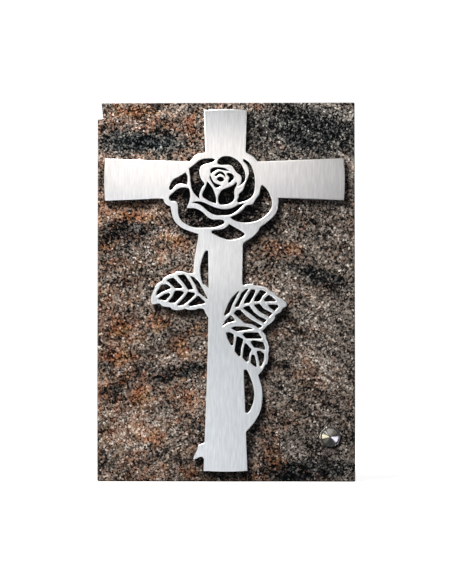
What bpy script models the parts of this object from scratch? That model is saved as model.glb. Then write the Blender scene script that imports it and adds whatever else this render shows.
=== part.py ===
"""A granite memorial plaque: a polished slab, a steel cross cut from one sheet, and a screw cap.

Metres, +Z up, +X to the right seen from the front, which faces -Y.
The origin is the centre of the slab's back face, where it lies against the wall.
"""

import math
from functools import partial

import bmesh
import bpy
from mathutils import Matrix, Vector

# Steel sheet and the cross cut from it
SHEET_THICKNESS = 0.004
SEAT_GAP = 0.0003
CROSS_HEIGHT = 0.250
HEAD_LENGTH = 0.0486
HEAD_WIDTH = 0.0297
HEAD_FLARE = 0.030
FOOT_WIDTH = 0.0301
FOOT_FLARE = 0.035
UPRIGHT_WAIST_WIDTH = 0.0232
UPRIGHT_WAIST_DROP = 0.0753
LEFT_ARM = 0.0839
RIGHT_ARM = 0.0824
ARM_END_WIDTH = 0.0291
ARM_FLARE = 0.037
ARM_WAIST_WIDTH = 0.0240
END_BULGE = 0.00065

# Rose, leaves, stem and thorn, drawn on squared paper with its zero at the crossing of the bars
HEIGHT_SQUARES = 2500
SQUARE = CROSS_HEIGHT / HEIGHT_SQUARES
VEIN_FILLET = 0.0007

# Granite slab, which shows round the cross on all sides
SLAB_THICKNESS = 0.020
SLAB_ARRIS = 0.0008
LEFT_MARGIN = 0.0048
RIGHT_MARGIN = 0.0069
TOP_MARGIN = 0.00505
FOOT_MARGIN = 0.00695
SLAB_WIDTH = LEFT_MARGIN + LEFT_ARM + RIGHT_ARM + RIGHT_MARGIN
SLAB_HEIGHT = CROSS_HEIGHT + TOP_MARGIN + FOOT_MARGIN

# The chip that is broken out of the slab's top left corner
CHIP_TOP_WIDTH = 0.0026
CHIP_FOOT_WIDTH = 0.0037
CHIP_HEIGHT = 0.0102
CHIP_STEP = 0.0012

# Turned screw cap: a cone inside a flat rim, with a narrow groove between them
CAP_DIAMETER = 0.014
CAP_RIM_WIDTH = 0.0008
CAP_RIM_HEIGHT = 0.0011
CAP_GROOVE_WIDTH = 0.0005
CAP_GROOVE_DEPTH = 0.0005
CAP_HEIGHT = 0.0046
CAP_TIP_DIAMETER = 0.0012
CAP_SIDE_MARGIN = 0.0173
CAP_FOOT_MARGIN = 0.031
CAP_SIDES = 48

# Levels that the pieces share
SLAB_FRONT = -SLAB_THICKNESS
SHEET_MIDDLE = SLAB_FRONT - SEAT_GAP - SHEET_THICKNESS / 2
CROSSING_SIDE = LEFT_MARGIN + LEFT_ARM - SLAB_WIDTH / 2
CROSSING_RISE = SLAB_HEIGHT / 2 - TOP_MARGIN - HEAD_LENGTH

# Handles of the bars' curves, as shares of a bar's run from waist to end, and of the end's bulge
WAIST_PULL = 0.3
END_PULL = 0.5
BULGE_PULL = 4 / 3

# Steps of one stretch of a curved outline, and how far a cutter stands past what it cuts
CURVE_STEPS = 3
CUTTER_SPARE = 0.002
WELD = 0.00001


def tip(x, z):
    """A point of the drawing where the outline has a corner."""
    return (x, z, "VECTOR")


ROSE = [
    tip(-252, 116), (-239, 132), (-213, 164), (-186, 179), (-149, 183), tip(-120, 188), tip(120, 192),
    (143, 185), (169, 172), (197, 151), tip(222, 122), tip(250, 0), tip(363, -100), (366, -150),
    (359, -204), (339, -247), (308, -278), (265, -312), tip(239, -329), (220, -363), (189, -397),
    (149, -423), tip(110, -450), tip(-100, -450), tip(-185, -376), (-239, -359), (-282, -343),
    (-324, -317), (-356, -280), (-372, -228), tip(-381, -184), (-406, -173), (-424, -153),
    tip(-430, -110), tip(-250, 0),
]

LEFT_STEM = [
    tip(-185, -360), (-190, -412), (-201, -470), (-210, -524), (-218, -586), tip(-219, -660),
    tip(-150, -745), (-160, -705), (-172, -660), (-174, -615), (-167, -572), (-150, -522),
    (-137, -496), (-128, -491), tip(-100, -500), tip(-60, -360),
]

RIGHT_STEM = [
    tip(180, -1300), tip(225, -1349), (236, -1380), (247, -1420), (255, -1480), (253, -1530),
    (242, -1586), (220, -1638), (181, -1696), tip(141, -1740), tip(60, -1760), tip(60, -1560),
    tip(120, -1590), (136, -1605), (145, -1611), (156, -1607), (181, -1564), (195, -1520),
    (198, -1470), (189, -1417), (172, -1366), (154, -1328), (145, -1314), (134, -1312),
    tip(110, -1330), tip(60, -1260),
]

THORN = [
    tip(-100, -1780), tip(-141, -1798), (-150, -1815), (-169, -1824), tip(-187, -1831),
    (-194, -1862), (-203, -1882), tip(-220, -1914), tip(-218, -1929), (-196, -1923), (-165, -1911),
    tip(-149, -1925), tip(-100, -1940),
]

LEFT_LEAF = [
    tip(-190, -640), tip(-221, -645), (-240, -650), (-258, -648), (-280, -639), (-305, -635),
    tip(-340, -637), (-352, -649), (-389, -660), (-415, -674), tip(-431, -687), (-438, -701),
    (-463, -717), (-481, -733), (-494, -765), (-508, -795), (-515, -836), tip(-508, -862),
    (-488, -862), (-472, -857), tip(-450, -856), tip(-438, -874), (-409, -879), tip(-381, -881),
    tip(-370, -894), (-345, -902), (-300, -899), (-276, -893), tip(-260, -901), tip(-208, -900),
    (-186, -892), tip(-151, -892), (-138, -920), tip(-117, -958), tip(-60, -960), tip(-60, -740),
    tip(-115, -752), (-130, -738), (-141, -727), tip(-156, -728),
]

UPPER_LEAF = [
    tip(60, -700), tip(116, -725), (129, -731), (148, -726), (171, -723), tip(186, -721),
    tip(194, -732), (230, -735), (265, -742), tip(286, -750), tip(300, -768), (325, -780),
    tip(347, -794), tip(357, -808), (385, -826), (410, -843), tip(424, -864), (420, -875),
    (404, -884), tip(388, -894), (382, -913), (362, -926), tip(342, -938), (339, -958),
    (328, -977), (302, -1000), (282, -1013), (273, -1026), tip(255, -1043), tip(100, -1100),
    tip(0, -1060),
]

LOWER_LEAF = [
    tip(150, -1020), tip(255, -1041), (260, -1056), (270, -1068), tip(281, -1079), (282, -1096),
    (288, -1116), (297, -1140), (301, -1164), tip(301, -1183), tip(295, -1194), (295, -1226),
    (291, -1255), tip(286, -1272), tip(272, -1281), (264, -1300), (252, -1319), tip(225, -1350),
    tip(170, -1300), tip(60, -1270), tip(60, -1040),
]

PETAL_OPENINGS = [
    [tip(-70, 137), (-90, 147), (-125, 146), (-165, 140), (-199, 118), tip(-252, 75), (-246, 41),
     (-240, -15), (-232, -65), (-210, -105), tip(-179, -135), (-180, -97), (-160, -54), (-145, -30),
     (-165, -2), (-179, 36), (-180, 72), (-158, 98), (-115, 112), (-85, 121)],
    [tip(-277, 48), (-321, 20), (-360, 0), (-382, -35), (-388, -66), (-376, -74), (-356, -52),
     (-330, -32), (-300, -29), tip(-265, -37), (-262, 0), (-265, 28)],
    [tip(-251, -62), (-285, -54), (-324, -62), (-360, -90), (-391, -130), (-378, -147), (-344, -150),
     (-329, -175), (-327, -224), (-313, -274), (-276, -308), (-220, -331), (-150, -334),
     (-80, -332), (-30, -317), (-7, -296), (-21, -279), (-82, -277), (-120, -261), (-160, -223),
     (-207, -200), tip(-267, -196), (-250, -150), (-244, -105)],
    [tip(-238, -164), (-205, -151), (-160, -154), (-117, -172), (-60, -196), (0, -205), (50, -195),
     (95, -172), tip(137, -166), (107, -193), (72, -224), (38, -244), (-20, -249), (-75, -245),
     (-120, -221), (-160, -187), (-194, -168)],
    [tip(-127, -10), (-139, -55), (-154, -83), (-159, -115), (-130, -140), (-93, -158),
     tip(-64, -166), (-66, -125), (-80, -78), (-103, -38)],
    [(76, -18), (55, -36), (12, -58), (-27, -75), (-46, -108), (-51, -145), (-42, -170),
     (-10, -175), (33, -165), (60, -135), (60, -80), (79, -31)],
    [(-56, 120), (-40, 146), (0, 161), (50, 153), (98, 118), (128, 67), (138, 12), (121, -29),
     tip(83, -51), (109, -11), (107, 22), (78, 46), (58, 74), (38, 97), (-10, 100), (-46, 106)],
    [(122, 138), (138, 136), (172, 105), (192, 60), (202, 5), (202, -55), (190, -108), (158, -141),
     (110, -156), (87, -159), (80, -145), (92, -118), (90, -104), (118, -76), (138, -28),
     (156, 15), (163, 54), (149, 100)],
    [tip(253, -37), (279, -59), (306, -104), (320, -152), (315, -200), (279, -249), (234, -280),
     (174, -297), (109, -297), (60, -283), tip(32, -263), (84, -238), (118, -211), (146, -181),
     tip(187, -174), (207, -140), (235, -96), (243, -53)],
    [(-97, -361), (-80, -352), (-43, -348), (0, -334), tip(26, -308), (64, -330), (104, -353),
     (132, -380), (109, -402), (64, -416), (22, -418), (-18, -407), (-72, -383)],
    [(-106, 60), (-90, 80), (-43, 84), (-7, 80), tip(32, 56), (-7, 61), (-50, 68), (-80, 54),
     tip(-98, 37)],
    [(-74, 25), (-58, 47), (-36, 55), (-8, 42), tip(2, 9), (-15, 28), (-38, 37), (-64, 22)],
    [(-60, 4), (-36, 20), (-12, 8), (-12, -10), (-30, -17), (-52, -6)],
    [(8, 39), (27, 45), (50, 35), (58, 12), (45, -8), (22, -24), (20, -6), (27, 14)],
    [tip(-105, 31), (-96, 7), (-78, -19), (-55, -31), tip(-25, -40), (-63, -58), (-85, -33),
     (-107, 5), (-110, 22)],
]

# Corners of the openings between a leaf's rim, its midrib and its side veins
LEAF_OPENINGS = [
    [(-250, -660), (-215, -676), (-184, -708), (-155, -760), (-110, -843), (-188, -778), (-206, -730)],
    [(-336, -661), (-282, -656), (-240, -716), (-220, -764), (-258, -762), (-290, -714)],
    [(-412, -698), (-385, -684), (-360, -677), (-296, -741), (-303, -753), (-347, -753), (-388, -712)],
    [(-483, -812), (-472, -772), (-443, -727), (-405, -722), (-376, -745), (-385, -757), (-440, -780)],
    [(-473, -826), (-425, -793), (-390, -782), (-378, -796), (-412, -837)],
    [(-398, -848), (-370, -812), (-346, -767), (-300, -769), (-284, -779), (-303, -806), (-350, -854)],
    [(-335, -866), (-280, -808), (-259, -774), (-215, -782), (-207, -793), (-240, -828), (-288, -868),
     (-322, -876)],
    [(-260, -865), (-225, -834), (-188, -800), (-139, -845), (-145, -858), (-205, -872), (-245, -876)],
    [(96, -768), (80, -778), (45, -815), (20, -853), (-13, -935), (-2, -944), (28, -918), (48, -862),
     (70, -820)],
    [(164, -751), (140, -758), (112, -780), (92, -822), (63, -872), (68, -881), (90, -881),
     (108, -840), (128, -802)],
    [(176, -760), (210, -764), (193, -805), (167, -852), (134, -860), (125, -848), (150, -806)],
    [(238, -763), (262, -767), (285, -782), (256, -806), (236, -843), (193, -844), (205, -812)],
    [(263, -829), (293, -799), (306, -799), (351, -838), (345, -844), (272, -844)],
    [(286, -864), (358, -864), (366, -878), (340, -910), (310, -890)],
    [(192, -866), (236, -858), (262, -890), (326, -923), (302, -951), (236, -913)],
    [(117, -887), (140, -876), (164, -871), (194, -914), (230, -943), (290, -970), (266, -992),
     (218, -965), (170, -928)],
    [(54, -924), (74, -902), (102, -899), (140, -942), (192, -976), (258, -1012), (232, -1029),
     (180, -1000), (132, -995)],
    [(36, -935), (8, -963), (-33, -1025), (8, -994), (74, -976)],
    [(32, -1027), (60, -1015), (110, -1014), (165, -1020), (197, -1034), (140, -1040), (80, -1050)],
    [(1, -1056), (32, -1054), (58, -1070), (57, -1110), (52, -1146), (38, -1146), (16, -1100)],
    [(78, -1078), (124, -1102), (108, -1160), (103, -1218), (91, -1222), (62, -1186), (70, -1130)],
    [(136, -1124), (181, -1170), (165, -1206), (158, -1254), (146, -1260), (117, -1230), (125, -1160)],
    [(179, -1211), (199, -1209), (211, -1255), (217, -1305), (172, -1266)],
    [(213, -1183), (240, -1183), (268, -1203), (265, -1248), (248, -1290), (233, -1288), (226, -1230)],
    [(170, -1120), (190, -1111), (258, -1122), (272, -1155), (272, -1180), (230, -1165), (197, -1161)],
    [(114, -1069), (132, -1056), (225, -1056), (256, -1100), (142, -1099)],
]


def clear_scene():
    """Remove the objects of the open file."""
    for thing in list(bpy.data.objects):
        bpy.data.objects.remove(thing, do_unlink=True)


def new_collection(name):
    """Make a collection in the scene."""
    collection = bpy.data.collections.new(name)
    bpy.context.scene.collection.children.link(collection)
    return collection


def new_material(name, colour, roughness, metallic):
    """Make a Principled material of one colour, roughness and metallic value."""
    material = bpy.data.materials.new(name)
    material.use_nodes = True
    shader = material.node_tree.nodes["Principled BSDF"]
    shader.inputs["Base Color"].default_value = (*colour, 1.0)
    shader.inputs["Roughness"].default_value = roughness
    shader.inputs["Metallic"].default_value = metallic
    return material


def drawn_spline(curve, drawing):
    """Add a closed outline drawn in squares, smooth except where a point is a tip."""
    spline = curve.splines.new("BEZIER")
    spline.bezier_points.add(len(drawing) - 1)
    for knot, (x, z, *kind) in zip(spline.bezier_points, drawing):
        knot.co = (x * SQUARE, z * SQUARE, 0.0)
        knot.handle_left_type = kind[0] if kind else "AUTO"
        knot.handle_right_type = kind[0] if kind else "AUTO"
    spline.use_cyclic_u = True


def filleted_spline(curve, corners):
    """Add a closed outline with straight sides, whose corners are rounded by the vein fillet."""
    spline = curve.splines.new("BEZIER")
    spline.bezier_points.add(2 * len(corners) - 1)
    points = [Vector((x * SQUARE, z * SQUARE, 0.0)) for x, z in corners]
    for index, corner in enumerate(points):
        before = points[index - 1] - corner
        after = points[(index + 1) % len(points)] - corner
        setback = VEIN_FILLET / math.tan(before.angle(after) / 2)
        setback = min(setback, 0.45 * before.length, 0.45 * after.length)
        start, end = spline.bezier_points[2 * index], spline.bezier_points[2 * index + 1]
        start.co = corner + before.normalized() * setback
        end.co = corner + after.normalized() * setback
        start.handle_left_type = end.handle_right_type = "VECTOR"
        start.handle_right_type = end.handle_left_type = "FREE"
        start.handle_right = start.co.lerp(corner, 0.55)
        end.handle_left = end.co.lerp(corner, 0.55)
    spline.use_cyclic_u = True


def bar_spline(curve, ends, waist, waist_width, upright):
    """Add a bar's outline, which narrows to a waist between its slightly bulging ends."""
    corners = []
    for end, width, flare in ends:
        run = end - waist
        corner = end - math.copysign(END_BULGE, run)
        flank = (corner - run * END_PULL, width / 2 - abs(run) * END_PULL * flare)
        edge = (corner + math.copysign(END_BULGE * BULGE_PULL, run), width / 6)
        corners.append([(corner, width / 2), edge, flank])
    first, last = corners
    pulls = [(waist + (end - waist) * WAIST_PULL, waist_width / 2) for end, _, _ in ends]
    side = [first, [(waist, waist_width / 2), *pulls], [last[0], last[2], last[1]]]
    mirrored = [[(u, -v) for u, v in (knot[0], knot[2], knot[1])] for knot in reversed(side)]
    spline = curve.splines.new("BEZIER")
    spline.bezier_points.add(5)
    for point, knot in zip(spline.bezier_points, side + mirrored):
        point.handle_left_type = point.handle_right_type = "FREE"
        places = [(v, u, 0.0) if upright else (u, v, 0.0) for u, v in knot]
        point.co, point.handle_left, point.handle_right = places
    spline.use_cyclic_u = True


def upright_outline(curve):
    """Draw the upright bar about the crossing."""
    head = (HEAD_LENGTH, HEAD_WIDTH, HEAD_FLARE)
    foot = (HEAD_LENGTH - CROSS_HEIGHT, FOOT_WIDTH, FOOT_FLARE)
    bar_spline(curve, (head, foot), -UPRIGHT_WAIST_DROP, UPRIGHT_WAIST_WIDTH, True)


def arms_outline(curve):
    """Draw the level bar about the crossing."""
    right = (RIGHT_ARM, ARM_END_WIDTH, ARM_FLARE)
    left = (-LEFT_ARM, ARM_END_WIDTH, ARM_FLARE)
    bar_spline(curve, (right, left), 0.0, ARM_WAIST_WIDTH, False)


def openings_outline(curve):
    """Draw every opening of the rose and of the leaves."""
    for petal in PETAL_OPENINGS:
        drawn_spline(curve, petal)
    for corners in LEAF_OPENINGS:
        filleted_spline(curve, corners)


def chip_outline(curve):
    """Draw what is missing from the slab's top left corner."""
    left, top = -SLAB_WIDTH / 2, SLAB_HEIGHT / 2
    corners = [
        (left - CUTTER_SPARE, top + CUTTER_SPARE),
        (left + CHIP_TOP_WIDTH, top + CUTTER_SPARE),
        (left + CHIP_TOP_WIDTH, top),
        (left + CHIP_FOOT_WIDTH, top - CHIP_HEIGHT),
        (left, top - CHIP_HEIGHT - CHIP_STEP),
        (left - CUTTER_SPARE, top - CHIP_HEIGHT - CHIP_STEP),
    ]
    spline = curve.splines.new("POLY")
    spline.points.add(len(corners) - 1)
    for point, (x, z) in zip(spline.points, corners):
        point.co = (x, z, 0.0, 1.0)
    spline.use_cyclic_u = True


def stand_up(name, draw_outline, centre, depth, collection):
    """Turn a flat outline upright, facing -Y, and give it a depth, as one closed mesh."""
    curve = bpy.data.curves.new(name, "CURVE")
    curve.dimensions = "2D"
    curve.fill_mode = "BOTH"
    curve.resolution_u = CURVE_STEPS
    curve.extrude = depth / 2
    draw_outline(curve)
    drawn = bpy.data.objects.new(name + "_outline", curve)
    drawn.location = centre
    drawn.rotation_euler = (math.pi / 2, 0.0, 0.0)
    bpy.context.scene.collection.objects.link(drawn)
    bpy.context.view_layer.update()
    evaluated = drawn.evaluated_get(bpy.context.evaluated_depsgraph_get())
    mesh = bpy.data.meshes.new_from_object(evaluated)
    mesh.name = name
    solid = bpy.data.objects.new(name, mesh)
    solid.matrix_world = drawn.matrix_world.copy()
    collection.objects.link(solid)
    bpy.data.objects.remove(drawn, do_unlink=True)
    shape = bmesh.new()
    shape.from_mesh(mesh)
    bmesh.ops.remove_doubles(shape, verts=shape.verts, dist=WELD)
    bmesh.ops.recalc_face_normals(shape, faces=shape.faces)
    shape.to_mesh(mesh)
    shape.free()
    return solid


def add_boolean(target, tool, operation):
    """Join a solid with a tool, or cut it by one, and hide the tool."""
    boolean = target.modifiers.new(tool.name, "BOOLEAN")
    boolean.operation = operation
    boolean.solver = "EXACT"
    boolean.object = tool
    tool.hide_render = True
    tool.display_type = "WIRE"


def move_to(thing, collection):
    """Keep an object in one collection only."""
    for owner in list(thing.users_collection):
        owner.objects.unlink(thing)
    collection.objects.link(thing)


def build_slab(parts, cutters):
    """The sawn and polished granite plate, with the chip out of its top left corner."""
    bpy.ops.mesh.primitive_cube_add(size=1.0)
    slab = bpy.context.object
    slab.name = slab.data.name = "granite_slab"
    move_to(slab, parts)
    slab.data.transform(Matrix.Diagonal((SLAB_WIDTH, SLAB_THICKNESS, SLAB_HEIGHT, 1.0)))
    slab.location = (0.0, SLAB_FRONT / 2, 0.0)
    depth = SLAB_THICKNESS + 2 * CUTTER_SPARE
    chip = stand_up("corner_chip", chip_outline, (0.0, SLAB_FRONT / 2, 0.0), depth, cutters)
    add_boolean(slab, chip, "DIFFERENCE")
    arris = slab.modifiers.new("arris", "BEVEL")
    arris.width = SLAB_ARRIS
    arris.segments = 2
    arris.limit_method = "ANGLE"
    slab.data.materials.append(new_material("polished_granite", (0.13, 0.10, 0.085), 0.2, 0.0))


def build_cross(parts, cutters):
    """One laser-cut sheet: the two bars, and the rose, leaves, stem and thorn that grow over them."""
    centre = (CROSSING_SIDE, SHEET_MIDDLE, CROSSING_RISE)
    cross = stand_up("steel_cross", upright_outline, centre, SHEET_THICKNESS, parts)
    outlines = {
        "arms": arms_outline,
        "rose": partial(drawn_spline, drawing=ROSE),
        "left_stem": partial(drawn_spline, drawing=LEFT_STEM),
        "right_stem": partial(drawn_spline, drawing=RIGHT_STEM),
        "thorn": partial(drawn_spline, drawing=THORN),
        "left_leaf": partial(drawn_spline, drawing=LEFT_LEAF),
        "upper_leaf": partial(drawn_spline, drawing=UPPER_LEAF),
        "lower_leaf": partial(drawn_spline, drawing=LOWER_LEAF),
    }
    for name, outline in outlines.items():
        add_boolean(cross, stand_up(name, outline, centre, SHEET_THICKNESS, cutters), "UNION")
    depth = SHEET_THICKNESS + 2 * CUTTER_SPARE
    add_boolean(cross, stand_up("openings", openings_outline, centre, depth, cutters), "DIFFERENCE")
    cross.data.materials.append(new_material("brushed_steel", (0.62, 0.64, 0.66), 0.35, 1.0))


def build_cap(parts):
    """The turned conical cap over the screw, seated on the slab's face."""
    radius = CAP_DIAMETER / 2
    rim_radius = radius - CAP_RIM_WIDTH
    cone_radius = rim_radius - CAP_GROOVE_WIDTH
    groove_height = CAP_RIM_HEIGHT - CAP_GROOVE_DEPTH
    tip_radius = CAP_TIP_DIAMETER / 2
    tip_height = CAP_HEIGHT - tip_radius * (CAP_HEIGHT - CAP_RIM_HEIGHT) / cone_radius / 2
    profile = [
        (0.0, CAP_HEIGHT),
        (tip_radius, tip_height),
        (cone_radius, CAP_RIM_HEIGHT),
        (cone_radius, groove_height),
        (rim_radius, groove_height),
        (rim_radius, CAP_RIM_HEIGHT),
        (radius, CAP_RIM_HEIGHT),
        (radius, 0.0),
        (0.0, 0.0),
    ]
    mesh = bpy.data.meshes.new("screw_cap")
    edges = [(index, index + 1) for index in range(len(profile) - 1)]
    mesh.from_pydata([(x, 0.0, z) for x, z in profile], edges, [])
    cap = bpy.data.objects.new("screw_cap", mesh)
    parts.objects.link(cap)
    turn = cap.modifiers.new("turn", "SCREW")
    turn.steps = turn.render_steps = CAP_SIDES
    turn.use_merge_vertices = True
    turn.merge_threshold = WELD
    cap.location = (
        SLAB_WIDTH / 2 - CAP_SIDE_MARGIN,
        SLAB_FRONT - SEAT_GAP,
        CAP_FOOT_MARGIN - SLAB_HEIGHT / 2,
    )
    cap.rotation_euler = (math.pi / 2, 0.0, 0.0)
    mesh.materials.append(new_material("turned_steel", (0.66, 0.66, 0.64), 0.25, 1.0))


clear_scene()
plaque = new_collection("granite_memorial_plaque")
tools = new_collection("cutters")
build_slab(plaque, tools)
build_cross(plaque, tools)
build_cap(plaque)
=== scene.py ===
"""Looks of a granite memorial plaque that carries a brushed steel cross and a turned screw cap."""

import math

import bmesh
import bpy
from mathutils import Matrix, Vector


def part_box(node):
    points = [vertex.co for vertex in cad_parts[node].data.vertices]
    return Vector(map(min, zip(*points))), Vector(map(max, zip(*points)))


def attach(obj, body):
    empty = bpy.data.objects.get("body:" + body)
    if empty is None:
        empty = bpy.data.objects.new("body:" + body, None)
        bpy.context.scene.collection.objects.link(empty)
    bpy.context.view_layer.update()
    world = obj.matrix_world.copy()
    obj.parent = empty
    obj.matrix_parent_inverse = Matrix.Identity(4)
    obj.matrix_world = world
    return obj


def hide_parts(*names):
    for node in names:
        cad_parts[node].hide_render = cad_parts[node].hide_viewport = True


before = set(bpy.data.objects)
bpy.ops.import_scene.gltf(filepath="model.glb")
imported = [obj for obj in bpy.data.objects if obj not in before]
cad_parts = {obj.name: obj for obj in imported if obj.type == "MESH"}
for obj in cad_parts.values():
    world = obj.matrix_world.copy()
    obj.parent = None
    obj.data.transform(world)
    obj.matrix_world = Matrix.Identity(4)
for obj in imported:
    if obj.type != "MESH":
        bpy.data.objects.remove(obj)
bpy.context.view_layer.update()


# The slab: a 20 mm plate of multicolour granite, sawn from the block and polished on its face.
# Black mica, grey quartz and ochre to orange feldspar lie in slanting bands, in grains of 1 to 4 mm.
# Only the face is glossy. The edges and the back keep the paler, duller skin that the saw leaves.
def linear(code):
    """Turn a colour written as sRGB hex into linear red, green, blue and alpha."""
    levels = [int(code[place:place + 2], 16) / 255 for place in (0, 2, 4)]
    return [c / 12.92 if c <= 0.04045 else ((c + 0.055) / 1.055) ** 2.4 for c in levels] + [1.0]


def node(tree, kind, inputs=None, **settings):
    """Add a node with its settings, then link or fill the inputs given by name or number."""
    made = tree.nodes.new(kind)
    for name, value in settings.items():
        setattr(made, name, value)
    for socket, value in (inputs or {}).items():
        if isinstance(value, bpy.types.NodeSocket):
            tree.links.new(value, made.inputs[socket])
        else:
            made.inputs[socket].default_value = value
    return made


def ramp(tree, factor, stops):
    """Add a colour ramp through (place, hex colour) stops and return its colour."""
    made = tree.nodes.new("ShaderNodeValToRGB")
    points = made.color_ramp.elements
    for _ in stops[2:]:
        points.new(0.5)
    for point, (place, code) in zip(points, stops):
        point.position = place
        point.color = linear(code)
    tree.links.new(factor, made.inputs["Fac"])
    return made.outputs["Color"]


def blend(tree, share, first, second):
    """Mix two colours by a share of the second and return the result."""
    made = node(tree, "ShaderNodeMix", {0: share, 6: first, 7: second}, data_type="RGBA")
    return made.outputs[2]


def weigh(tree, start, parts):
    """Add (value, weight) parts to a starting value and return the sum."""
    total = start
    for value, weight in parts:
        total = node(tree, "ShaderNodeMath", {0: value, 1: weight, 2: total},
                     operation="MULTIPLY_ADD").outputs[0]
    return total


def new_material(name):
    """Make a material and return it with its node tree and its shader."""
    made = bpy.data.materials.new(name)
    made.use_nodes = True
    return made, made.node_tree, made.node_tree.nodes["Principled BSDF"]


def add_object(name, data):
    """Put an object into the scene."""
    made = bpy.data.objects.new(name, data)
    bpy.context.scene.collection.objects.link(made)
    return made


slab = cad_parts["granite_slab"]
slab_low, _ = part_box("granite_slab")
POLISH_DEPTH = 0.0011
CRYSTAL_SIZE = 0.0036
GRAIN_SIZE = 0.0019
SPECK_SIZE = 0.0010
SPECK_FRAY = 0.0016
BAND_LENGTH = 0.026
BAND_SLENDERNESS = 2.4
BAND_ARCH = 3.2
BAND_ROUGHNESS = 0.6
WARM_BAND_LENGTH = BAND_LENGTH / 1.2
WARM_BAND_SHIFT = (3.1, 1.7, 5.3)
FOLD_SIZE = 0.05
FOLD_REACH = 0.030
WAVER_SIZE = 0.012
WAVER_REACH = 0.012
LIGHTNESS_START = -0.52
WARMTH_START = -0.41
CLOUD_DARKENING = -0.40
# How much the painted shade darkens the face under the sheet's openings.
PAINTED_SHADE_DARKENING = -0.48
SMOOTHEST_GRAIN = 0.10
ROUGHEST_GRAIN = 0.20
SAWN_ROUGHNESS = 0.72
SAWN_PALENESS = 0.42
SAW_STEP = 0.0026
SAW_CENTRE = (0.31, 0.0, 0.22)
SAW_RELIEF = 0.00012

# The larger clouds on the face: middle, half length, half height in mm, slope in degrees, strength.
DARK_CLOUDS = [
    (-58, 103, 32, 8, 0, 0.75), (-70, 42, 19, 10, 8, 0.45), (-36, -57, 26, 6, 17, 0.7),
    (-78, -69, 10, 7, 0, 0.5), (64, 10, 26, 6, -22, 0.45), (54, -123, 38, 8, 2, 0.6),
    (56, 112, 46, 20, -4, 0.55), (-17, -92, 6, 14, 80, 0.5), (-66, -104, 7, 6, 0, 0.3),
    (-55, -95, 38, 36, 0, -0.3), (62, -30, 30, 30, 0, -0.12), (-60, 119, 32, 14, 0, 0.15),
]
WARM_CLOUDS = [
    (-76, -24, 11, 7, 0, 0.8), (-73, -46, 12, 6, 0, 0.9), (-47, -23, 9, 6, 0, 0.7),
    (-32, -38, 6, 8, 0, 0.7), (-58, -72, 8, 9, 30, 0.7), (-21, -73, 9, 10, 0, 0.5),
    (-55, -99, 16, 8, -20, 0.8), (-27, -124, 12, 6, 0, 0.6), (36, 28, 24, 9, -8, 0.6),
    (31, -114, 15, 13, 20, 0.7), (-64, 51, 18, 4, -4, 0.7), (60, -60, 18, 10, -30, 0.5),
    (-60, 125, 16, 6, 0, 0.4), (-25, 114, 6, 9, 0, 0.6), (-36, 36, 12, 7, -30, 0.6),
    (-58, 103, 34, 9, 0, -1.0), (-66, 28, 20, 6, 10, -0.6), (50, 112, 50, 20, 0, -0.4),
    (60, -110, 26, 16, 0, -0.5),
]
# Painted shade: the face is darkened inside the rose, between the leaf veins and behind the stem, where
# the sheet shades the stone in its openings.
PAINTED_SHADE_PLACES = [
    (-3, 64, 36, 28, 0, 1.05), (-30, 0, 19, 13, 0, 0.75), (20, -9, 21, 12, -30, 0.75),
    (14, -37, 13, 18, 0, 0.75), (-11, 24, 4, 12, 0, 0.7), (18, -70, 5, 18, 0, 0.6),
]


def sum_clouds(tree, where, clouds):
    """Add up soft ellipses on the slab's face, given in mm and degrees with their strengths."""
    parts = []
    for x, z, length, height, slope, strength in clouds:
        local = node(tree, "ShaderNodeMapping", {
            "Vector": where, "Location": (x / 1000, 0.0, z / 1000),
            "Rotation": (0.0, -math.radians(slope), 0.0),
            "Scale": (length / 1000, 1.0, height / 1000),
        }, vector_type="TEXTURE").outputs[0]
        away = node(tree, "ShaderNodeVectorMath", {0: local}, operation="LENGTH").outputs["Value"]
        cloud = node(tree, "ShaderNodeMapRange", {0: away, 1: 1.3, 2: 0.3},
                     interpolation_type="SMOOTHSTEP").outputs[0]
        parts.append((cloud, strength))
    return weigh(tree, 0.0, parts)


def warped(tree, where, size, detail, reach):
    """Push a position about by up to half of that reach, with a noise of that size."""
    push = node(tree, "ShaderNodeTexNoise", {"Vector": where, "Scale": 1 / size, "Detail": detail})
    push = node(tree, "ShaderNodeVectorMath", {0: push.outputs["Color"], 1: (0.5, 0.5, 0.5)},
                operation="SUBTRACT")
    push = node(tree, "ShaderNodeVectorMath", {0: push.outputs[0], "Scale": reach}, operation="SCALE")
    return node(tree, "ShaderNodeVectorMath", {0: where, 1: push.outputs[0]}).outputs[0]


granite, tree, shader = new_material("polished_granite")
place = node(tree, "ShaderNodeTexCoord").outputs["Object"]
depth = node(tree, "ShaderNodeSeparateXYZ", {0: place}).outputs["Y"]
sawn = node(tree, "ShaderNodeMapRange", {
    0: depth, 1: slab_low.y + POLISH_DEPTH / 2, 2: slab_low.y + POLISH_DEPTH,
}, interpolation_type="SMOOTHSTEP").outputs[0]
folded = warped(tree, place, FOLD_SIZE, 2.0, FOLD_REACH)
drifted = warped(tree, folded, WAVER_SIZE, 2.0, WAVER_REACH)
axes = node(tree, "ShaderNodeSeparateXYZ", {0: drifted}).outputs
arch = node(tree, "ShaderNodeMath", {0: axes["X"], 1: axes["X"]}, operation="MULTIPLY").outputs[0]
arch = node(tree, "ShaderNodeMath", {0: arch, 1: BAND_ARCH, 2: axes["Z"]},
            operation="MULTIPLY_ADD").outputs[0]
arch = node(tree, "ShaderNodeMath", {0: arch, 1: BAND_SLENDERNESS}, operation="MULTIPLY").outputs[0]
bands = node(tree, "ShaderNodeCombineXYZ", {"X": axes["X"], "Y": axes["Y"], "Z": arch}).outputs[0]
shaken = warped(tree, place, WAVER_SIZE, 2.0, WAVER_REACH)
tone = node(tree, "ShaderNodeTexNoise", {
    "Vector": bands, "Scale": 1 / BAND_LENGTH, "Detail": 3.0, "Roughness": BAND_ROUGHNESS,
}).outputs["Fac"]
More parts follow.
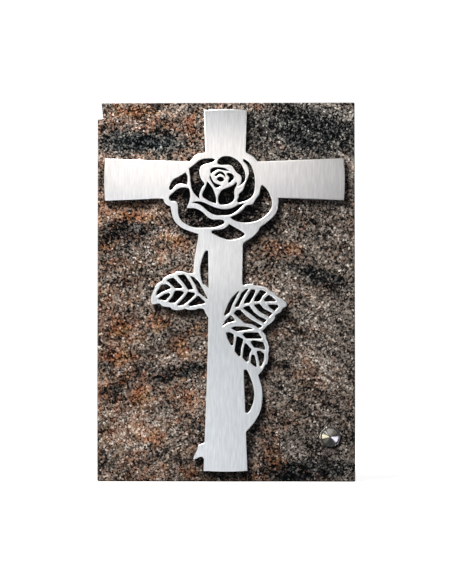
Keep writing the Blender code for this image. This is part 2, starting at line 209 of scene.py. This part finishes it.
apart = node(tree, "ShaderNodeMapping", {"Vector": bands, "Location": WARM_BAND_SHIFT}).outputs[0]
warmth = node(tree, "ShaderNodeTexNoise", {
    "Vector": apart, "Scale": 1 / WARM_BAND_LENGTH, "Detail": 3.0, "Roughness": BAND_ROUGHNESS,
}).outputs["Fac"]

frayed = warped(tree, place, SPECK_SIZE, 1.0, SPECK_FRAY)
layers = []
for size in (CRYSTAL_SIZE, GRAIN_SIZE, SPECK_SIZE):
    cells = node(tree, "ShaderNodeTexVoronoi", {"Vector": frayed, "Scale": 1 / size})
    layers.append(node(tree, "ShaderNodeSeparateColor", {"Color": cells.outputs["Color"]}).outputs)
crystal, grain, speck = layers
flecks = node(tree, "ShaderNodeMapRange", {0: speck[1], 1: 0.86, 2: 0.94}).outputs[0]
pits = node(tree, "ShaderNodeMapRange", {0: speck[2], 1: 0.16, 2: 0.08}).outputs[0]

dark_clouds = sum_clouds(tree, shaken, DARK_CLOUDS)
# Painted shade: the face is darkened in the places listed above, under the sheet's openings. The sawn
# sides are left out.
painted_shade = node(tree, "ShaderNodeMix", {0: sawn, 2: sum_clouds(tree, shaken, PAINTED_SHADE_PLACES), 3: 0.0})
painted_shade = painted_shade.outputs[0]
lightness = weigh(tree, LIGHTNESS_START, [
    (tone, 0.92), (crystal[0], 0.08), (grain[0], 0.21), (speck[0], 0.67), (flecks, 0.24),
    (pits, -0.34), (dark_clouds, CLOUD_DARKENING), (painted_shade, PAINTED_SHADE_DARKENING),
])
grey_minerals = ramp(tree, lightness, [
    (0.0, "020303"), (0.16, "0f0f10"), (0.32, "34312f"), (0.50, "645d57"), (0.68, "88807a"),
    (0.86, "aea6a0"), (1.0, "e0dbd6"),
])
warm_minerals = ramp(tree, lightness, [
    (0.0, "050302"), (0.16, "190f0b"), (0.32, "4b2d1f"), (0.50, "84543b"), (0.68, "a97253"),
    (0.86, "c29a80"), (1.0, "e4d3c6"),
])
cold_minerals = ramp(tree, lightness, [
    (0.0, "010304"), (0.16, "090e12"), (0.32, "293135"), (0.50, "555d5f"), (0.68, "7c8384"),
    (0.86, "a5a9aa"), (1.0, "dcdee0"),
])
ochre_minerals = ramp(tree, lightness, [
    (0.0, "040302"), (0.16, "17100b"), (0.32, "463221"), (0.50, "7d5c3e"), (0.68, "a27c58"),
    (0.86, "bea083"), (1.0, "e4d6c5"),
])
ochre_share = node(tree, "ShaderNodeMapRange", {0: crystal[2], 1: 0.55, 2: 0.8}).outputs[0]
warm_clouds = sum_clouds(tree, shaken, WARM_CLOUDS)
# The painted shade also makes the stone a little less warm.
warm_share = weigh(tree, WARMTH_START, [
    (warmth, 0.9), (grain[1], 0.22), (crystal[1], 0.22), (warm_clouds, 0.40), (axes["X"], -1.3),
    (painted_shade, -0.2),
])
warm_share = node(tree, "ShaderNodeMapRange", {0: warm_share, 1: 0.12, 2: 0.82},
                  interpolation_type="SMOOTHSTEP").outputs[0]
dull_minerals = blend(tree, dark_clouds, grey_minerals, cold_minerals)
glowing_minerals = blend(tree, ochre_share, warm_minerals, ochre_minerals)
stone_colour = blend(tree, warm_share, dull_minerals, glowing_minerals)

sawn_colour = blend(tree, SAWN_PALENESS, stone_colour, linear("a39d97"))
seen_colour = blend(tree, sawn, stone_colour, sawn_colour)
polish = node(tree, "ShaderNodeMapRange", {
    0: speck[1], 3: SMOOTHEST_GRAIN, 4: ROUGHEST_GRAIN,
}).outputs[0]
roughness = node(tree, "ShaderNodeMix", {0: sawn, 2: polish, 3: SAWN_ROUGHNESS}).outputs[0]
blade = node(tree, "ShaderNodeMapping", {"Vector": place, "Location": SAW_CENTRE}).outputs[0]
arcs = node(tree, "ShaderNodeTexWave", {
    "Vector": blade, "Scale": math.tau / 20 / SAW_STEP, "Distortion": 1.2, "Detail": 3.0,
}, wave_type="RINGS", rings_direction="Y").outputs["Fac"]
relief = node(tree, "ShaderNodeMath", {0: speck[2], 1: 0.5, 2: arcs},
              operation="MULTIPLY_ADD").outputs[0]
relief = node(tree, "ShaderNodeMath", {0: relief, 1: sawn}, operation="MULTIPLY").outputs[0]
relief = node(tree, "ShaderNodeBump", {"Height": relief, "Distance": SAW_RELIEF, "Strength": 0.8})
tree.links.new(seen_colour, shader.inputs["Base Color"])
tree.links.new(roughness, shader.inputs["Roughness"])
tree.links.new(relief.outputs[0], shader.inputs["Normal"])
shader.inputs["Specular IOR Level"].default_value = 0.35
slab.data.materials.clear()
slab.data.materials.append(granite)


# The cross with its rose, leaves, stem and thorn: one 4 mm sheet of stainless steel, laser cut.
# Its faces are brushed along the upright, its rims are broken by rubbing and so catch the light,
# and its cut walls are duller and ribbed across by the beam. It sits on the slab's face on glue.
RIM = 0.00032
RIM_RINGS = 3
LONGEST_MITRE = 1.6
SOFT_ANGLE = math.radians(38)
WELD = 0.000004
LEVEL_SLACK = 0.0001
sheet_low, sheet_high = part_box("steel_cross")


def cut_loops(source, level):
    """The closed outlines of a flat sheet's face at that depth, metal on their left."""
    shape = bmesh.new()
    shape.from_mesh(source.data)
    bmesh.ops.remove_doubles(shape, verts=shape.verts, dist=WELD)
    after = {}
    for face in shape.faces:
        if face.normal.y > -0.99 or abs(face.calc_center_median().y - level) > LEVEL_SLACK:
            continue
        corners = list(face.verts)
        for first, second in zip(corners, corners[1:] + corners[:1]):
            after.setdefault(first, set()).add(second)
    loops = []
    ways = {first: [second for second in ends if first not in after.get(second, ())]
            for first, ends in after.items()}
    for start in list(ways):
        while ways.get(start):
            loop = [start]
            step = ways[start].pop()
            while step is not start:
                loop.append(step)
                step = ways[step].pop()
            loops.append([Vector((vert.co.x, vert.co.z)) for vert in loop])
    shape.free()
    return loops


def inset(loop, distance):
    """A loop moved sideways into the metal, with its sharpest corners blunted."""
    moved = []
    for index, corner in enumerate(loop):
        into = (corner - loop[index - 1]).normalized()
        out = (loop[(index + 1) % len(loop)] - corner).normalized()
        side = Vector((-into.y - out.y, into.x + out.x))
        if side.length < 0.001:
            side = Vector((-into.y, into.x))
        side.normalize()
        mitre = 1 / max(side.dot(Vector((-into.y, into.x))), 1 / LONGEST_MITRE)
        moved.append(corner + side * distance * mitre)
    return moved


def build_sheet(name, loops, front, back):
    """Skin a flat sheet between two depths, with rounded rims, as one closed mesh."""
    turns = [math.pi / 2 * step / RIM_RINGS for step in range(RIM_RINGS + 1)]
    levels = [(RIM * (1 - math.sin(turn)), front + RIM * (1 - math.cos(turn))) for turn in turns]
    levels += [(step, front + back - depth) for step, depth in reversed(levels)]
    shape = bmesh.new()
    along = shape.loops.layers.uv.new("sheet")
    first_rings, last_rings = [], []
    for loop in loops:
        rings = []
        for distance, depth in levels:
            path = inset(loop, distance) if distance > 0 else loop
            rings.append([shape.verts.new((point.x, depth, point.y)) for point in path])
        travel = [0.0]
        for index, corner in enumerate(loop):
            travel.append(travel[-1] + (loop[(index + 1) % len(loop)] - corner).length)
        for level, (upper, lower) in enumerate(zip(rings, rings[1:])):
            for index in range(len(loop)):
                after = (index + 1) % len(loop)
                face = shape.faces.new((upper[index], lower[index], lower[after], upper[after]))
                face.material_index = 2 if level == RIM_RINGS else 1
                spots = (travel[index], travel[index], travel[index + 1], travel[index + 1])
                for corner, spot in zip(face.loops, spots):
                    corner[along].uv = (spot, corner.vert.co.y)
        first_rings += [shape.edges.get(pair) for pair in zip(rings[0], rings[0][1:] + rings[0][:1])]
        last_rings += [shape.edges.get(pair) for pair in zip(rings[-1], rings[-1][1:] + rings[-1][:1])]
    for edges, facing in ((first_rings, -1.0), (last_rings, 1.0)):
        filled = bmesh.ops.triangle_fill(shape, use_beauty=True, edges=edges, normal=(0.0, facing, 0.0))
        for face in filled["geom"]:
            if isinstance(face, bmesh.types.BMFace):
                face.material_index = 0
                for corner in face.loops:
                    corner[along].uv = (corner.vert.co.x, corner.vert.co.z)
    bmesh.ops.recalc_face_normals(shape, faces=shape.faces)
    for face in shape.faces:
        face.smooth = True
    for edge in shape.edges:
        kinds = {face.material_index for face in edge.link_faces}
        edge.smooth = len(kinds) == 1 and edge.calc_face_angle(0.0) < SOFT_ANGLE
    mesh = bpy.data.meshes.new(name)
    shape.to_mesh(mesh)
    shape.free()
    return mesh


# Stainless steel brushed with a coarse belt: strokes about 0.3 mm wide, drawn 0.45 mm wide so that
# they show at the photo's size. The strokes spread reflections sideways, so highlights lie level.
# The sheet also buckles a little, by ((first * x + second) * x + third) * x metres at x metres.
STROKE_WIDTH = 0.00045
BROAD_STROKE_WIDTH = 2.6 * STROKE_WIDTH
STROKE_LENGTH = 16.0
BROAD_STROKE_LENGTH = 10.0
STROKE_CONTRAST = 0.15
STEEL_ROUGHNESS = 0.26
BUCKLE = (-6.0, 0.09, 0.01)
WAVE_SIZE = 1 / 11.0
WAVE_HEIGHT = 0.0004
SCRATCH_DEPTH = 0.00001
brushed, tree, shader = new_material("brushed_stainless_steel")
place = node(tree, "ShaderNodeTexCoord").outputs["Object"]
strokes = []
for width, length in ((STROKE_WIDTH, STROKE_LENGTH), (BROAD_STROKE_WIDTH, BROAD_STROKE_LENGTH)):
    pulled = node(tree, "ShaderNodeMapping", {
        "Vector": place, "Scale": (1 / width, 1 / width, 1 / (width * length)),
    }).outputs[0]
    strokes.append(node(tree, "ShaderNodeTexNoise", {
        "Vector": pulled, "Scale": 1.0, "Detail": 2.0, "Roughness": 0.6,
    }).outputs["Fac"])
both = node(tree, "ShaderNodeMath", {0: strokes[0], 1: strokes[1]}).outputs[0]
waves = node(tree, "ShaderNodeTexNoise", {
    "Vector": place, "Scale": 1 / WAVE_SIZE, "Detail": 2.0,
}).outputs["Fac"]
shade = node(tree, "ShaderNodeMapRange", {
    0: both, 1: 0.6, 2: 1.4, 3: 1 - STROKE_CONTRAST, 4: 1 + STROKE_CONTRAST,
}).outputs[0]
painted = node(tree, "ShaderNodeVectorMath", {0: linear("e2e3e4")[:3], "Scale": shade},
               operation="SCALE").outputs[0]
dull = weigh(tree, STEEL_ROUGHNESS, [(waves, 0.10), (both, 0.08)])
side = node(tree, "ShaderNodeSeparateXYZ", {0: place}).outputs["X"]
buckle = weigh(tree, BUCKLE[1], [(side, BUCKLE[0])])
buckle = weigh(tree, BUCKLE[2], [(side, buckle)])
buckle = node(tree, "ShaderNodeMath", {0: buckle, 1: side}, operation="MULTIPLY").outputs[0]
bow = node(tree, "ShaderNodeBump", {"Height": buckle, "Distance": 1.0}).outputs[0]
swell = node(tree, "ShaderNodeBump", {
    "Height": waves, "Distance": WAVE_HEIGHT, "Strength": 1.0, "Normal": bow,
}).outputs[0]
scratches = node(tree, "ShaderNodeBump", {
    "Height": both, "Distance": SCRATCH_DEPTH, "Strength": 0.5, "Normal": swell,
}).outputs[0]
across = node(tree, "ShaderNodeTangent", direction_type="UV_MAP", uv_map="sheet").outputs[0]
tree.links.new(painted, shader.inputs["Base Color"])
tree.links.new(dull, shader.inputs["Roughness"])
tree.links.new(scratches, shader.inputs["Normal"])
tree.links.new(across, shader.inputs["Tangent"])
shader.inputs["Metallic"].default_value = 1.0
shader.inputs["Anisotropic"].default_value = 1.0

# The rubbed rim of the same steel: bright, a little rough, without strokes.
rim, tree, shader = new_material("rubbed_steel_rim")
place = node(tree, "ShaderNodeTexCoord").outputs["Object"]
wear = node(tree, "ShaderNodeTexNoise", {"Vector": place, "Scale": 900.0, "Detail": 2.0})
worn = node(tree, "ShaderNodeMapRange", {0: wear.outputs["Fac"], 3: 0.28, 4: 0.46}).outputs[0]
bright = ramp(tree, wear.outputs["Fac"], [(0.3, "e9ebec"), (0.7, "f7f8f8")])
tree.links.new(worn, shader.inputs["Roughness"])
tree.links.new(bright, shader.inputs["Base Color"])
shader.inputs["Metallic"].default_value = 1.0

# The laser-cut wall: duller steel with fine ribs across the thickness, about 0.35 mm apart.
CUT_RIB = 0.00035
RIB_SLENDERNESS = 0.12
RIB_DEPTH = 0.00006
wall, tree, shader = new_material("laser_cut_steel")
along = node(tree, "ShaderNodeUVMap", uv_map="sheet").outputs[0]
along = node(tree, "ShaderNodeMapping", {
    "Vector": along, "Scale": (1 / CUT_RIB, RIB_SLENDERNESS / CUT_RIB, 1.0),
}).outputs[0]
ribs = node(tree, "ShaderNodeTexNoise", {"Vector": along, "Scale": 1.0, "Detail": 2.0})
burnt = ramp(tree, ribs.outputs["Fac"], [(0.25, "8d8e90"), (0.75, "c2c3c4")])
ribbed = node(tree, "ShaderNodeBump", {"Height": ribs.outputs["Fac"], "Distance": RIB_DEPTH})
tree.links.new(burnt, shader.inputs["Base Color"])
tree.links.new(ribbed.outputs[0], shader.inputs["Normal"])
shader.inputs["Metallic"].default_value = 1.0
shader.inputs["Roughness"].default_value = 0.42

outlines = cut_loops(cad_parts["steel_cross"], sheet_low.y)
cross_mesh = build_sheet("rose_cross", outlines, sheet_low.y, sheet_high.y)
for finish in (brushed, rim, wall):
    cross_mesh.materials.append(finish)
cross = add_object("rose_cross", cross_mesh)
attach(cross, "root")
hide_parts("steel_cross")


# The screw cap: a stainless steel cone, 14 mm across, turned on a lathe inside a flat rim.
# It covers the screw's head. The tool's feed leaves rings all the way from the rim to the tip,
# so a light shows on it as a wedge that narrows to the tip.
CAP_ROWS_STEP = 0.00008
CAP_SEGMENTS = 128
CAP_WELD = 0.000002
CAP_SOFT_ANGLE = math.radians(40)
cap_low, cap_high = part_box("screw_cap")

cap_tree = bpy.data.node_groups.new("turned_cap", "GeometryNodeTree")
cap_tree.interface.new_socket("Geometry", in_out="OUTPUT", socket_type="NodeSocketGeometry")
CAP_INPUTS = {
    "Radius": (cap_high.x - cap_low.x) / 2,
    "Rim width": 0.0008,
    "Rim height": 0.0011,
    "Bead round": 0.0004,
    "Groove width": 0.0005,
    "Groove depth": 0.0005,
    "Height": cap_high.y - cap_low.y,
    "Tip round": 0.0005,
    "Ring pitch": 0.0005,
    "Ring depth": 0.0000025,
}
sockets = {name: cap_tree.interface.new_socket(name, in_out="INPUT", socket_type="NodeSocketFloat")
           for name in CAP_INPUTS}
sockets["Metal"] = cap_tree.interface.new_socket("Metal", in_out="INPUT",
                                                 socket_type="NodeSocketMaterial")
given = cap_tree.nodes.new("NodeGroupInput").outputs


def sums(operation, *values):
    """Add a maths node to the cap's tree and return its result."""
    made = node(cap_tree, "ShaderNodeMath", dict(enumerate(values)), operation=operation)
    return made.outputs[0]


# The profile is followed from the tip out over the face, down the rim and back under to the axis.
run = sums("ADD", sums("MULTIPLY", given["Radius"], 2.0), given["Rim height"])
rows = sums("ROUND", sums("DIVIDE", run, CAP_ROWS_STEP))
grid = node(cap_tree, "GeometryNodeMeshGrid", {
    "Size X": 1.0, "Size Y": 1.0, "Vertices X": rows, "Vertices Y": CAP_SEGMENTS + 1,
})
spot = node(cap_tree, "GeometryNodeInputPosition").outputs[0]
spot = node(cap_tree, "ShaderNodeSeparateXYZ", {0: spot}).outputs
travel = sums("MULTIPLY", sums("ADD", spot["X"], 0.5), run)
turn = sums("MULTIPLY", sums("ADD", spot["Y"], 0.5), math.tau)
outward = sums("MINIMUM", travel, given["Radius"])
past_face = sums("MAXIMUM", sums("SUBTRACT", travel, given["Radius"]), 0.0)
down = sums("MINIMUM", past_face, given["Rim height"])
inward = sums("MAXIMUM", sums("SUBTRACT", past_face, given["Rim height"]), 0.0)
reach = sums("SUBTRACT", outward, inward)
rim_start = sums("SUBTRACT", given["Radius"], given["Rim width"])
cone_radius = sums("SUBTRACT", rim_start, given["Groove width"])
on_cone = sums("LESS_THAN", outward, cone_radius)
on_rim = sums("GREATER_THAN", outward, rim_start)
bead = sums("DIVIDE", sums("SUBTRACT", outward, rim_start), given["Rim width"])
bead = sums("SUBTRACT", sums("MULTIPLY", bead, 2.0), 1.0)
bead = sums("SUBTRACT", 1.0, sums("SQRT", sums("SUBTRACT", 1.0, sums("MULTIPLY", bead, bead))))
bead = sums("MULTIPLY", bead, given["Bead round"])
rounded = sums("SQRT", sums("ADD", sums("MULTIPLY", outward, outward),
                            sums("MULTIPLY", given["Tip round"], given["Tip round"])))
share = sums("SUBTRACT", 1.0, sums("DIVIDE", rounded, cone_radius))
cone_rise = sums("MULTIPLY", sums("SUBTRACT", given["Height"], given["Rim height"]), share)
rings = sums("SINE", sums("DIVIDE", sums("MULTIPLY", outward, math.tau), given["Ring pitch"]))
cone_rise = sums("ADD", cone_rise, sums("MULTIPLY", rings, given["Ring depth"]))
in_groove = sums("SUBTRACT", sums("SUBTRACT", 1.0, on_cone), on_rim)
rise = sums("SUBTRACT", sums("MULTIPLY", cone_rise, on_cone),
            sums("MULTIPLY", in_groove, given["Groove depth"]))
rise = sums("SUBTRACT", rise, sums("MULTIPLY", bead, on_rim))
height = sums("SUBTRACT", sums("ADD", rise, given["Rim height"]), down)
placed = node(cap_tree, "ShaderNodeCombineXYZ", {
    "X": sums("MULTIPLY", reach, sums("COSINE", turn)),
    "Y": sums("MULTIPLY", height, -1.0),
    "Z": sums("MULTIPLY", reach, sums("SINE", turn)),
}).outputs[0]
shaped = node(cap_tree, "GeometryNodeSetPosition", {"Geometry": grid.outputs[0], "Position": placed})
closed = node(cap_tree, "GeometryNodeMergeByDistance", {"Geometry": shaped.outputs[0],
                                                        "Distance": CAP_WELD})
real = node(cap_tree, "GeometryNodeRealizeInstances", {"Geometry": closed.outputs[0]})
dressed = node(cap_tree, "GeometryNodeSetMaterial", {"Geometry": real.outputs[0],
                                                     "Material": given["Metal"]})
node(cap_tree, "NodeGroupOutput", {0: dressed.outputs[0]})

# Turned stainless steel, a little warmer and smoother than the brushed sheet.
turned, tree, shader = new_material("turned_stainless_steel")
place = node(tree, "ShaderNodeTexCoord").outputs["Object"]
smear = node(tree, "ShaderNodeTexNoise", {"Vector": place, "Scale": 420.0, "Detail": 3.0})
tint = ramp(tree, smear.outputs["Fac"], [(0.3, "c9c7c2"), (0.7, "dddcd8")])
dull = node(tree, "ShaderNodeMapRange", {0: smear.outputs["Fac"], 3: 0.16, 4: 0.28}).outputs[0]
tree.links.new(tint, shader.inputs["Base Color"])
tree.links.new(dull, shader.inputs["Roughness"])
shader.inputs["Metallic"].default_value = 1.0

blank = add_object("cap_blank", bpy.data.meshes.new("cap_blank"))
turning = blank.modifiers.new("turning", "NODES")
turning.node_group = cap_tree
for name, value in CAP_INPUTS.items():
    turning[sockets[name].identifier] = value
turning[sockets["Metal"].identifier] = turned
bpy.context.view_layer.update()
graph = bpy.context.evaluated_depsgraph_get()
cap_mesh = bpy.data.meshes.new_from_object(blank.evaluated_get(graph))
cap_mesh.name = "turned_screw_cap"
bpy.data.objects.remove(blank)
shape = bmesh.new()
shape.from_mesh(cap_mesh)
bmesh.ops.recalc_face_normals(shape, faces=shape.faces)
middle = (cap_low + cap_high) / 2
bmesh.ops.translate(shape, verts=shape.verts, vec=(middle.x, cap_high.y, middle.z))
shape.to_mesh(cap_mesh)
shape.free()
cap_mesh.shade_smooth()
cap_mesh.set_sharp_from_angle(angle=CAP_SOFT_ANGLE)
cap = add_object("turned_screw_cap", cap_mesh)
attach(cap, "root")
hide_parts("screw_cap")


# The studio: a plain white surround and a white floor under the slab's lower edge.
# The floor glows a little so that it is as white as the surround, and only the camera sees it.
FLOOR_REACH = 6.0
FLOOR_LEVEL = slab_low.z - 0.0002
GLOW_NEAR = 0.88
GLOW_FAR = 1.02
ROOM_STRENGTH = 0.08
SCREEN_STRENGTH = 1.05
floor_mesh = bpy.data.meshes.new("studio_floor")
corners = [(-1, -1), (1, -1), (1, 1), (-1, 1)]
floor_mesh.from_pydata([(x * FLOOR_REACH, y * FLOOR_REACH, FLOOR_LEVEL) for x, y in corners],
                       [], [(0, 1, 2, 3)])
floor = add_object("studio_floor", floor_mesh)
floor.visible_glossy = False
floor.visible_diffuse = False
paper, tree, shader = new_material("white_paper_floor")
shader.inputs["Base Color"].default_value = linear("f6f6f6")
shader.inputs["Roughness"].default_value = 0.9
shader.inputs["Emission Color"].default_value = linear("ffffff")
away = node(tree, "ShaderNodeTexCoord").outputs["Object"]
away = node(tree, "ShaderNodeVectorMath", {0: away}, operation="LENGTH").outputs["Value"]
glow = node(tree, "ShaderNodeMapRange", {
    0: away, 1: 0.15, 2: 0.7, 3: GLOW_NEAR, 4: GLOW_FAR,
}).outputs[0]
tree.links.new(glow, shader.inputs["Emission Strength"])
floor_mesh.materials.append(paper)

surround = bpy.data.worlds.new("white_surround")
surround.use_nodes = True
tree = surround.node_tree
room = tree.nodes["Background"]
room.inputs["Color"].default_value = linear("e9edf2")
room.inputs["Strength"].default_value = ROOM_STRENGTH
screen = node(tree, "ShaderNodeBackground", {"Color": linear("ffffff"), "Strength": SCREEN_STRENGTH})
seen = node(tree, "ShaderNodeLightPath").outputs["Is Camera Ray"]
mixed = node(tree, "ShaderNodeMixShader", {0: seen, 1: room.outputs[0], 2: screen.outputs[0]})
tree.links.new(mixed.outputs[0], tree.nodes["World Output"].inputs["Surface"])
bpy.context.scene.world = surround


# The lights: a tall soft key high on the left, which throws the shadows, and weak fills around it.
# Upright panels light only the brushed sheet, each hung where one stretch of the sheet mirrors it,
# and four small panels light only the cap. Both kinds are flagged off the stone.
PANEL_WIDTH = 0.10
SLAB_MIDDLE = (0.0, 0.0, 0.0)
LOWER_RIGHT = (0.07, -0.02, -0.10)


def softbox(name, centre, aim, width, height, radiance, colour, shines_on=()):
    """Hang a soft panel at a point, facing another point. It lights all objects or only those given."""
    lamp = bpy.data.lights.new(name, "AREA")
    lamp.shape = "RECTANGLE"
    lamp.size = width
    lamp.size_y = height
    lamp.energy = radiance * math.pi * width * height
    lamp.color = linear(colour)[:3]
    panel = add_object(name, lamp)
    panel.location = centre
    panel.rotation_euler = (Vector(aim) - Vector(centre)).to_track_quat("-Z", "Y").to_euler()
    panel.visible_camera = False
    if shines_on:
        catchers = bpy.data.collections.new(name + "_catchers")
        for catcher in shines_on:
            catchers.objects.link(catcher)
        panel.light_linking.receiver_collection = catchers


for name, side, distance, level, height, radiance, colour in (
    ("tall_left", -0.19, -0.41, -0.126, 0.628, 7.5, "ecf1f8"),
    ("waist_panel", -0.19, -0.40, -0.125, 0.17, 1.9, "f2f6fa"),
    ("arm_strip", -0.165, -0.38, 0.127, 0.048, 8.6, "ffecda"),
    ("band_strip", -0.165, -0.38, 0.041, 0.016, 12.5, "fff1e4"),
    ("head_panel", 0.0, -0.40, 0.150, 0.07, 0.9, "f6f4f2"),
):
    softbox(name, (side, distance, level), (side, 0.0, level), PANEL_WIDTH, height, radiance, colour,
            [cross])
softbox("key", (-0.28, -0.42, 0.66), SLAB_MIDDLE, 0.28, 0.56, 34.0, "fffaf4", [slab, cross, floor])
for name, centre, width, height, radiance, colour in (
    ("cap_streak", (-0.30, -0.31, 0.27), 0.04, 0.10, 2.2, "f4f2f0"),
    ("cap_fill", (-0.30, -0.31, -0.47), 0.25, 0.25, 0.25, "d8cdb8"),
    ("rim_left", (-0.20, -0.070, 0.05), 0.10, 0.60, 6.0, "fff8ee"),
    ("rim_right", (0.26, -0.055, -0.33), 0.06, 0.16, 6.0, "fbfaff"),
):
    softbox(name, centre, middle, width, height, radiance, colour, [cap])
softbox("left_wing", (-0.50, -0.31, -0.09), LOWER_RIGHT, 0.20, 0.34, 1.6, "fff4d4")
softbox("right_wing", (0.57, -0.30, -0.31), LOWER_RIGHT, 0.20, 0.42, 1.9, "f0ebff")
softbox("top_strip", (0.06, -0.38, 0.66), SLAB_MIDDLE, 0.8, 0.20, 0.7, "f2ebe4")
softbox("upper_right", (0.50, -0.36, 0.42), LOWER_RIGHT, 0.5, 0.5, 0.25, "cfc2b4")
softbox("foot_bounce", (0.0, -0.60, -0.85), SLAB_MIDDLE, 1.8, 0.5, 0.9, "f4f4f2", [cross])
softbox("back_fill", (0.35, 0.95, 0.12), SLAB_MIDDLE, 0.8, 0.5, 2.2, "f4f6fa", [slab])


# The camera looks at the face from in front, a little from below and from the right.
# Colours are shown as they are, without a film curve, so that white paper comes out white.
bpy.context.scene.view_settings.view_transform = "Standard"
PIXEL = 0.00069
PICTURE_HEIGHT = 584
DISTANCE = 1.5
FROM_RIGHT = math.radians(1.2)
FROM_BELOW = math.radians(2.0)
camera_data = bpy.data.cameras.new("camera")
camera_data.sensor_width = 36.0
camera_data.lens = camera_data.sensor_width * DISTANCE / (PICTURE_HEIGHT * PIXEL)
camera_data.clip_end = 50.0
camera = add_object("camera", camera_data)
aim = Vector((0.0, slab_low.y - 0.002, -0.5 * PIXEL))
away = Vector((math.sin(FROM_RIGHT), -1.0, -math.sin(FROM_BELOW))).normalized()
camera.location = aim + away * DISTANCE
camera.rotation_euler = (-away).to_track_quat("-Z", "Y").to_euler()
bpy.context.scene.camera = camera
